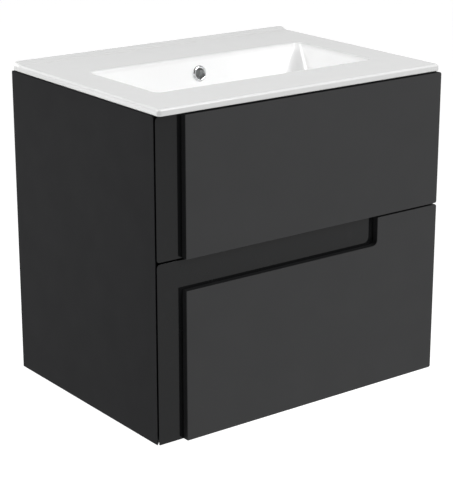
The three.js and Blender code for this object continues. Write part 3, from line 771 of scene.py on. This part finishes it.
def build_waste():
    axis = (0, WASTE_Y, 0)
    flange = [
        (18, 385),
        (18.8, 385),
        (21, 387),
        (21, 453.8),
        (33, 453.8),
        (33, 454.6),
        (32.6, 455.6),
        (31.6, 456.5),
        (30.4, 456.8),
        (25, 456.8),
        (24, 456.5),
        (18.6, 452.4),
        (18, 451.4),
    ]
    body = turned("waste_flange_and_tail", flange, axis, segments=72)
    slot = box_outline(-60, 60, WASTE_Y - 6, WASTE_Y + 6, 3, ARC_STEPS)
    combine(body, [slab("waste_slot", slot, (440, 448), 0, upright)])
    fit(body, "cabinet", "chrome", "waste_body")
    for k in range(7):
        height = 388.5 + 3.2 * k
        thread = [
            (20.6, height - 1.1),
            (21.55, height - 0.25),
            (21.55, height + 0.25),
            (20.6, height + 1.1),
        ]
        rib = turned(f"waste_thread_{k}", thread, axis, segments=48)
        fit(rib, "cabinet", "chrome")
    gasket = [
        (21.3, 426.7),
        (29, 426.7),
        (30, 427.6),
        (31, 429),
        (30.6, 430),
        (31.6, 431.4),
        (33, 433.2),
        (32.4, 433.7),
        (21.3, 433.7),
    ]
    fit(turned("waste_cone_gasket", gasket, axis), "cabinet", "rubber", "waste_gasket")
    flats = 26
    nut = [
        (21.3, 415.9),
        (22, 415.4),
        (26.6, 415.4, flats),
        (30, 417.2, flats),
        (30, 424.6, flats),
        (26.6, 426.4, flats),
        (22, 426.4),
        (21.3, 425.9),
    ]
    fit(turned("waste_back_nut", nut, axis, segments=72), "cabinet", "brass", "waste_nut")
    build_guide(axis)
    plug = [
        (0.4, 409),
        (3.8, 409),
        (5, 410.2),
        (5, 450.8),
        (9, 452),
        (16, 453.1),
        (17, 454),
        (17, 456.9),
        (29, 457.1),
        (30.2, 457.8),
        (30.5, 458.5),
        (30.2, 459.3),
        (29.2, 459.9),
        (26, 460.7),
        (20, 461.5),
        (12, 462),
        (5, 462.25),
        (0.4, 462.3),
    ]
    made = turned("waste_plug_dome", plug, axis, segments=72, closed=False)
    fit(made, "waste_plug", "chrome", "waste_plug")


def build_guide(axis):
    """The spider in the tail that guides the plug's stem."""
    plate = turned("waste_guide_spider", [(5.3, 421), (17.7, 421), (17.7, 425), (5.3, 425)], axis)
    tools = []
    for k in range(3):
        start = math.radians(120 * k + 16)
        turns = [start + math.radians(88) * step / 8 for step in range(9)]
        wedge = [(14.9 * math.cos(a), WASTE_Y + 14.9 * math.sin(a)) for a in turns]
        wedge += [(8 * math.cos(a), WASTE_Y + 8 * math.sin(a)) for a in reversed(turns)]
        tools.append(slab(f"guide_window_{k}", wedge, (419, 427), 0, upright))
    combine(plate, tools)
    fit(plate, "cabinet", "grey_plastic", "waste_guide")


# ---- Cabinet ----


def build_side_panels():
    for word, side in SIDES.items():
        edge = 0.7
        rings = []
        for x, shrink in ((INNER_HALF, edge), (INNER_HALF + edge, 0), (HALF - edge, 0), (HALF, edge)):
            front = SIDE_EDGE_Y + (HALF - x)
            corners = [
                (front, 0, 1.2),
                (0, 0, 1.2),
                (0, CARCASS_TOP, 1.2),
                (front, CARCASS_TOP, 4),
            ]
            rings.append([(side * x, y, h) for y, h in inset(rounded(corners), shrink)])
        fit(solid(f"{word}_side_board", rings), "cabinet", "carcass_lacquer", f"{word}_side_panel")


def board(name, outline, ends, axis, body, slot, *nodes):
    return fit(slab(name, outline, ends, 0.7, axis), body, slot, *nodes)


def plain_board(name, node, axis, body, slot):
    """A board that fills its node's box, with rounded edges."""
    x, y, h = (span(node, way) for way in "xyh")
    outline, ends = {upright: (x + y, h), facing: (x + h, y)}[axis]
    return board(name, box_outline(*outline), ends, axis, body, slot, node)


def build_carcass():
    finish_of = ("cabinet", "carcass_lacquer")
    plain_board("bottom_board", "bottom_panel", upright, *finish_of)
    plain_board("front_rail_board", "front_top_rail", upright, *finish_of)
    plain_board("middle_rail_board", "front_middle_rail", upright, *finish_of)
    plain_board("lower_wall_board", "lower_wall_rail", facing, *finish_of)
    reach = INNER_HALF - GAP
    notch = reach - 56
    shelf = CARCASS_TOP - 44
    corners = [
        (-reach, 454.7, 1),
        (reach, 454.7, 1),
        (reach, shelf, 1),
        (notch, shelf, 6),
        (notch, CARCASS_TOP, 1),
        (-notch, CARCASS_TOP, 1),
        (-notch, shelf, 6),
        (-reach, shelf, 1),
    ]
    board("upper_wall_board", rounded(corners), (-BOARD, 0), facing, *finish_of, "upper_wall_rail")
    front = span("front_top_rail", "y")[0]
    for word, side in SIDES.items():
        for name, height in (("front_rail", 546.4), ("middle_rail", 307), ("bottom_board", 8)):
            button(f"{name}_buffer_{word}", (side * 150, front, height), FORWARD, 4.5, 1.8, "cabinet")
    for word, side in SIDES.items():
        for k, height in enumerate((36, 78, 474)):
            button(f"{word}_rail_cam_{k}", (side * 262, -BOARD, height), FORWARD, 7.5, 0.8, "cabinet")


def build_hangers():
    body = [
        (-75.5, 508.3, 2),
        (-25.5, 508.3, 2),
        (-17.5, 516.3, 2),
        (-17.5, 550.8, 0.6),
        (-3.7, 550.8, 1),
        (-3.7, 541.8, 0.5),
        (-1.2, 541.8, 0.5),
        (-1.2, 553.3, 2),
        (-69.5, 553.3, 3),
        (-75.5, 547.3, 3),
    ]
    plate = [
        (-2.5, 512.7, 0.4),
        (0, 512.7, 0.4),
        (0, 536.2, 0.8),
        (-4.5, 536.2, 0.4),
        (-4.5, 549.7, 0.4),
        (-7, 549.7, 0.4),
        (-7, 533.7, 2),
        (-2.5, 533.7, 0.4),
    ]
    for word, side in SIDES.items():
        made = slab(f"{word}_hanger_box", rounded(body), span(f"{word}_hanger", "x"), 1.0, across)
        window = box_outline(-66, -30, 516, 545, 3)
        combine(made, [slab("hanger_window", window, (side * 262, side * 265.5), 0, across)])
        fit(made, "cabinet", "grey_plastic", f"{word}_hanger")
        for k, height in enumerate((520, 540)):
            screw(f"{word}_hanger_screw_{k}", (side * 273.7, -75.3, height), FORWARD, "cabinet", 4.2)
        for k, depth in enumerate((-58, -38)):
            origin = (side * 265.3, depth, 530.5)
            screw(f"{word}_hanger_rivet_{k}", origin, Vector((-side, 0, 0)), "cabinet", 3)
        ends = span(f"{word}_wall_plate", "x")
        made = slab(f"{word}_wall_hook_plate", rounded(plate), ends, 0.3, across)
        tools = []
        for k, x in enumerate((240, 257)):
            outline = box_outline(side * x - 5, side * x + 5, 517.5, 524.5, 3.2)
            tools.append(slab(f"plate_slot_{k}", outline, (-12, 4), 0, facing))
        combine(made, tools)
        fit(made, "cabinet", "runner_steel", f"{word}_wall_plate")


# ---- Drawer fronts ----


GLOSS_TOP = (5.5, 4)  # radii of a gloss layer's upper corners, left and right


def gloss_layer(name, node, body, foot):
    """A front with mitred ends. Its corners are rounded as seen from the front.

    foot holds the radii of its lower corners, left and right.
    """
    low, high = span(node, "h")
    edge = 0.6
    rings = []
    for depth, shrink in ((0, edge), (0.2, 0.25), (edge, 0), (BOARD - edge, 0), (BOARD, edge)):
        half = GLOSS_HALF - depth
        corners = [
            (-half, low, foot[0]),
            (half, low, foot[1]),
            (half, high, GLOSS_TOP[1]),
            (-half, high, GLOSS_TOP[0]),
        ]
        outline = inset(rounded(corners, 8), shrink)
        rings.append([(x, FRONT_Y + depth, h) for x, h in outline])
    fit(solid(name, rings), body, "gloss_front", node)


def matt_layer(name, corners, body, node):
    made = slab(name, rounded(corners, 8), FACE_Y, 0.8, facing)
    fit(made, body, "matt_front", node)
    # The side faces take the darker copy, the painted shade.
    made.data.materials.append(MATT_EDGE_PAINTED_SHADE)
    for face in made.data.polygons:
        face.material_index = int(abs(face.normal.y) < 0.3)


def build_fronts():
    gloss_layer("upper_front_gloss", "upper_gloss_layer", "upper_drawer", (5.5, 4))
    gloss_layer("lower_front_gloss", "lower_gloss_layer", "lower_drawer", (2.5, 2))
    upper = [
        (FACE_LEFT, GAP_TOP, 1.2),
        (HALF, GAP_TOP, 3.5),
        (HALF, FRONT_TOP, 3.5),
        (FACE_LEFT, FRONT_TOP, 1.2),
    ]
    matt_layer("upper_front_matt", upper, "upper_drawer", "upper_matt_layer")
    lower = [
        (FACE_LEFT, 0, 1.2),
        (HALF, 0, 3.5),
        (HALF, GAP_BOTTOM, 3.5),
        (RECESS["right"], GAP_BOTTOM, 1),
        (RECESS["right"], RECESS["floor"], RECESS["radius"]),
        (FACE_LEFT, RECESS["floor"], 1.2),
    ]
    matt_layer("lower_front_matt", lower, "lower_drawer", "lower_matt_layer")


# ---- Runners and drawers ----


def runner_parts(level, base, word, side):
    name = f"{level}_{word}"
    rail = on_side(side, [
        (262.5, base, 1.2),
        (283.7, base, 1.2),
        (283.7, base + 32, 0.4),
        (282.2, base + 32, 0.4),
        (282.2, base + 1.5, 0.5),
        (264, base + 1.5, 0.5),
        (264, base + 8, 0.4),
        (262.5, base + 8, 0.4),
    ])
    ends = span(f"{name}_cabinet_rail", "y")
    made = slab(f"{name}_rail_profile", rounded(rail, 3), ends, 0.3, facing)
    tools = []
    for k, depth in enumerate((-383, -351, -191, -127)):
        outline = [(depth + u, base + 21 + v) for u, v in box_outline(-5, 5, -3, 3, 2.9)]
        tools.append(slab(f"rail_slot_{k}", outline, (side * 280, side * 286), 0, across))
    combine(made, tools)
    fit(made, "cabinet", "runner_steel", f"{name}_cabinet_rail")
    inward = Vector((-side, 0, 0))
    for k, depth in enumerate((-400, -255, -95)):
        screw(f"{name}_rail_screw_{k}", (side * 282.2, depth, base + 21), inward, "cabinet", 4)
    middle = on_side(side, [
        (266, base + 3, 0.4),
        (267.5, base + 3, 0.4),
        (267.5, base + 11.5, 0.6),
        (278.5, base + 11.5, 0.6),
        (278.5, base + 3, 0.4),
        (280, base + 3, 0.4),
        (280, base + 13, 1.4),
        (266, base + 13, 1.4),
    ])
    ends = span(f"{name}_middle_profile", "y")
    made = slab(f"{name}_middle_member", rounded(middle, 3), ends, 0.3, facing)
    tools = []
    for k in range(4):
        start = -390 + 68 * k
        outline = box_outline(side * 273 - 2.5, side * 273 + 2.5, start, start + 40, 2.4)
        tools.append(slab(f"cage_slot_{k}", outline, (base + 10, base + 15), 0, upright))
    combine(made, tools)
    fit(made, f"{level}_runners", "runner_steel", f"{name}_middle_profile")
    for k in range(6):
        depth = -400 + 54 * k
        profile = [(0.8, -3.6), (2.6, -3.6), (3, -3.1), (3, 3.1), (2.6, 3.6), (0.8, 3.6)]
        origin = (side * 273, depth, base + 6.6)
        roller = turned(f"{name}_roller_{k}", profile, origin, Vector((1, 0, 0)), 24, closed=False)
        fit(roller, f"{level}_runners", "grey_plastic")
    carrier_parts(level, base, name, side)


def carrier_parts(level, base, name, side):
    plate = base + 14.5
    section = on_side(side, [
        (259, plate, 0.5),
        (281, plate, 0.5),
        (281, plate + 1.5, 0.5),
        (265.5, plate + 1.5, 0.8),
        (265.5, plate + 28, 0.5),
        (264, plate + 28, 0.5),
        (264, plate + 1.5, 0.8),
        (259, plate + 1.5, 0.5),
    ])
    ends = span(f"{name}_drawer_profile", "y")
    made = slab(f"{name}_carrier_profile", rounded(section, 3), ends, 0.3, facing)
    tools = []
    for k, depth in enumerate((-395, -250, -105)):
        outline = circle(side * 274, depth, 3)
        tools.append(slab(f"carrier_hole_{k}", outline, (plate - 3, plate + 5), 0, upright))
    combine(made, tools)
    fit(made, f"{level}_drawer", "runner_steel", f"{name}_drawer_profile")


def drawer_side(level, base, word, side):
    name = f"{level}_{word}"
    body = f"{level}_drawer"
    low = base + 16.5
    top = low + 98.5
    section = on_side(side, [
        (258.5, low + 18, 0.5),
        (260.3, low + 18, 0.5),
        (260.3, top - 1.8, 0.6),
        (269.2, top - 1.8, 0.6),
        (269.2, low, 0.5),
        (271, low, 0.5),
        (271, top, 2.4),
        (258.5, top, 2.4),
    ])
    ends = span(f"{name}_side", "y")
    made = slab(f"{name}_side_profile", rounded(section, 5), ends, 0.5, facing)
    fit(made, body, "drawer_metal", f"{name}_side")
    inward = Vector((-side, 0, 0))
    cap = on_side(side, [
        (260.8, low + 20, 1),
        (268.7, low + 20, 1),
        (268.7, top - 2.4, 1.5),
        (260.8, top - 2.4, 1.5),
    ])
    made = slab(f"{name}_side_end_cap", rounded(cap, 3), (-77, -73.2), 0.6, facing)
    fit(made, body, "grey_plastic")
    button(f"{name}_side_cover", (side * 258.5, -399, base + 78), inward, 8.5, 0.9, body)
    bracket = on_side(side, [
        (258.5, -423.7, 0.8),
        (271, -423.7, 0.8),
        (271, -419.3, 0.6),
        (268, -419.3, 0.6),
        (268, -395.3, 1),
        (261.5, -395.3, 1),
        (261.5, -419.3, 0.6),
        (258.5, -419.3, 0.6),
    ])
    made = slab(f"{name}_bracket_block", rounded(bracket, 3), (base + 46, base + 108), 0.5, upright)
    fit(made, body, "runner_steel", f"{name}_front_bracket")


def build_upper_drawer():
    base = RUNNER_BASE["upper"]
    body = "upper_drawer"
    plan = rounded([
        (-258.2, -423.7, 1),
        (258.2, -423.7, 1),
        (258.2, -74, 1),
        (95, -74, 0.5),
        (95, -310, 40),
        (-95, -310, 40),
        (-95, -74, 0.5),
        (-258.2, -74, 1),
    ], 10)
    ends = (base + 18, base + 34)
    board("upper_drawer_floor", plan, ends, upright, body, "drawer_board", "upper_drawer_bottom")
    wall = rounded([
        (-103, -74, 1.5),
        (-103, -318, 48),
        (103, -318, 48),
        (103, -74, 1.5),
        (95, -74, 1.5),
        (95, -310, 40),
        (-95, -310, 40),
        (-95, -74, 1.5),
    ], 12)
    made = slab("siphon_collar", wall, (base + 34.3, base + 115), 1.6, upright)
    fit(made, body, "grey_plastic", "siphon_surround")
    for word, side in SIDES.items():
        node = f"upper_{word}_rear_panel"
        plain_board(f"upper_{word}_rear_board", node, facing, body, "drawer_board")
        for k, height in enumerate((base + 52, base + 96)):
            origin = (side * 245, -74, height)
            screw(f"upper_{word}_rear_screw_{k}", origin, BACKWARD, body, 3.6)


def build_lower_drawer():
    base = RUNNER_BASE["lower"]
    body = "lower_drawer"
    plain_board("lower_drawer_floor", "lower_drawer_bottom", upright, body, "drawer_board")
    foot, shoulder, top = base + 34.3, base + 116, base + 214
    face = rounded([
        (-258.2, foot, 1),
        (258.2, foot, 1),
        (258.2, shoulder, 1),
        (271, shoulder, 1),
        (271, top, 3),
        (-271, top, 3),
        (-271, shoulder, 1),
        (-258.2, shoulder, 1),
    ], 4)
    ends = span("lower_rear_panel", "y")
    board("lower_rear_board", face, ends, facing, body, "drawer_board", "lower_rear_panel")
    for word, side in SIDES.items():
        for k, height in enumerate((base + 52, base + 96)):
            screw(f"lower_{word}_rear_screw_{k}", (side * 245, -74, height), BACKWARD, body, 3.6)
        rod = [
            (0.5, -423.7),
            (8, -423.7),
            (8, -421.6),
            (6.4, -420.2),
            (5, -419),
            (5, -95),
            (6.4, -93.8),
            (8, -92.4),
            (8, -90.3),
            (0.5, -90.3),
        ]
        origin = (side * 264.75, 0, base + 188)
        made = turned(f"lower_{word}_gallery_rod", rod, origin, BACKWARD, 32, closed=False)
        fit(made, body, "drawer_metal", f"lower_{word}_gallery_rail")


# ---- Stage, light and camera ----

CAMERA = {"at": (-1685, -2482.1, 627.4), "yaw": -36.77, "pitch": 17.49, "lens": 122.8}

# From here on places and sizes are in metres.
FLOOR = {"height": -0.8, "reach": 22, "grey": 0.36, "glow": 0.9}
LAMPS = {
    # name: place, power, size
    "key": ((1.0, -2.85, 2.2), 98, 2.2),
    "left": ((-2.6, 0.75, 1.4), 50, 1.4),
    "left_low": ((-1.2, 0.6, -0.25), 3, 0.8),
}
SURROUND = [
    # how far up, from 0 at the horizon to 1 overhead, and the brightness there
    (0.04, 1.0),
    (0.25, 0.6),
    (0.54, 0.6),
    (0.64, 0.04),
]
SHADE = {"toward": (-0.5, -0.75, 0.43), "from": 0.55, "to": 0.95, "depth": 0.75}


def look_at(thing, target):
    aim = Vector(target) - thing.location
    thing.rotation_euler = aim.to_track_quat("-Z", "Y").to_euler()


def area_light(name, at, power, size, target=(0, -0.22, -0.2)):
    data = bpy.data.lights.new(name, "AREA")
    data.energy = power
    data.shape = "DISK"
    data.size = size
    light = bpy.data.objects.new(name, data)
    light.location = at
    light.visible_camera = False
    bpy.context.scene.collection.objects.link(light)
    look_at(light, target)


def build_floor():
    mesh = bpy.data.meshes.new("floor")
    r = FLOOR["reach"]
    corners = [(x, y, FLOOR["height"]) for x, y in ((-r, -r), (r, -r), (r, r), (-r, r))]
    mesh.from_pydata(corners, [], [(0, 1, 2, 3)])
    floor = bpy.data.objects.new("floor", mesh)
    bpy.context.scene.collection.objects.link(floor)
    graph = Graph("floor_paper")
    grey = [FLOOR["grey"]] * 3
    tint = graph.scaled(grey, graph.ramp(graph.noise(3), (0.3, 0.7), (0.995, 1.0)))
    graph.link(tint, graph.shader.inputs["Base Color"])
    graph.shader.inputs["Roughness"].default_value = 0.9
    graph.shader.inputs["Specular IOR Level"].default_value = 0.1
    graph.shader.inputs["Emission Color"].default_value = (1, 1, 1, 1)
    graph.shader.inputs["Emission Strength"].default_value = FLOOR["glow"]
    mesh.materials.append(graph.material)


def build_world():
    """A pale surround, darker overhead and darker behind the camera, as in a studio."""
    world = bpy.data.worlds.new("studio")
    world.use_nodes = True
    tree = world.node_tree
    background = tree.nodes["Background"]
    way = tree.nodes.new("ShaderNodeTexCoord").outputs["Generated"]
    split = tree.nodes.new("ShaderNodeSeparateXYZ")
    bands = tree.nodes.new("ShaderNodeValToRGB")
    while len(bands.color_ramp.elements) < len(SURROUND):
        bands.color_ramp.elements.new(0.5)
    for element, (position, value) in zip(bands.color_ramp.elements, SURROUND):
        element.position = position
        element.color = (value, value, value, 1)
    tree.links.new(way, split.inputs[0])
    tree.links.new(split.outputs["Z"], bands.inputs["Fac"])
    facing_shade = tree.nodes.new("ShaderNodeVectorMath")
    facing_shade.operation = "DOT_PRODUCT"
    facing_shade.inputs[1].default_value = Vector(SHADE["toward"]).normalized()
    tree.links.new(way, facing_shade.inputs[0])
    dim = tree.nodes.new("ShaderNodeMapRange")
    dim.interpolation_type = "SMOOTHSTEP"
    dim.inputs["From Min"].default_value = SHADE["from"]
    dim.inputs["From Max"].default_value = SHADE["to"]
    dim.inputs["To Min"].default_value = 1
    dim.inputs["To Max"].default_value = 1 - SHADE["depth"]
    tree.links.new(facing_shade.outputs["Value"], dim.inputs["Value"])
    tree.links.new(dim.outputs["Result"], background.inputs["Strength"])
    tree.links.new(bands.outputs["Color"], background.inputs["Color"])
    bpy.context.scene.world = world


def build_camera():
    data = bpy.data.cameras.new("camera")
    data.lens = CAMERA["lens"]
    data.sensor_width = 36
    data.clip_end = 80
    camera = bpy.data.objects.new("camera", data)
    camera.location = [value * MM for value in CAMERA["at"]]
    camera.rotation_euler = (math.radians(90 - CAMERA["pitch"]), 0, math.radians(CAMERA["yaw"]))
    bpy.context.scene.collection.objects.link(camera)
    bpy.context.scene.camera = camera


def build_stage():
    build_floor()
    build_world()
    for name, (at, power, size) in LAMPS.items():
        area_light(name, at, power, size)
    build_camera()
    bpy.context.scene.view_settings.view_transform = "Standard"


build_basin()
build_overflow_ring()
build_waste()
build_side_panels()
build_carcass()
build_hangers()
build_fronts()
for level, base in RUNNER_BASE.items():
    for word, side in SIDES.items():
        runner_parts(level, base, word, side)
        drawer_side(level, base, word, side)
build_upper_drawer()
build_lower_drawer()
build_stage()
